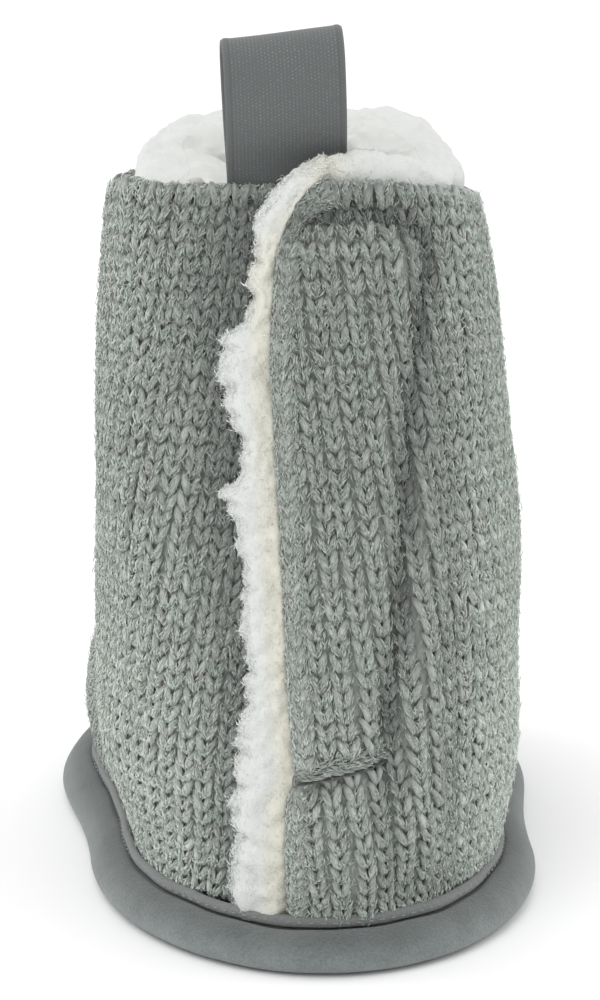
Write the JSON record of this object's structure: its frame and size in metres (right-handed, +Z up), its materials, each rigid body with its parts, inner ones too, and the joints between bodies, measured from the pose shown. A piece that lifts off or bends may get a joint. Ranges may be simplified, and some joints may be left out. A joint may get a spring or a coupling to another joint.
{
  "type": "knitted baby bootie",
  "caption": "Soft baby winter bootie: knit upper lined with pile fleece, lapped closure and ribbon pull loop at the back, flat padded sole with a rolled rim.",
  "frame": {"origin": "on the floor, under the middle of the bootie's outside box", "axes": "+Z up, +Y from heel to toe, +X to the wearer's right"},
  "size_m": [0.0664, 0.118, 0.1191],
  "materials": {
    "knit": "heather-grey stockinette knit of fuzzy yarn",
    "fleece": "white pile fleece with soft uneven locks",
    "rim_cloth": "brushed grey microfibre, matt",
    "sole_cloth": "brushed dark grey microfibre, matt",
    "ribbon": "dark grey ribbed ribbon with a slight sheen"
  },
  "bodies": {
    "root": {"outsole": "sole_cloth", "rim": "rim_cloth", "binding_edge": "rim_cloth", "insole": "fleece", "upper": "knit", "lining": "fleece", "pull_loop": "ribbon"}
  },
  "joints": []
}
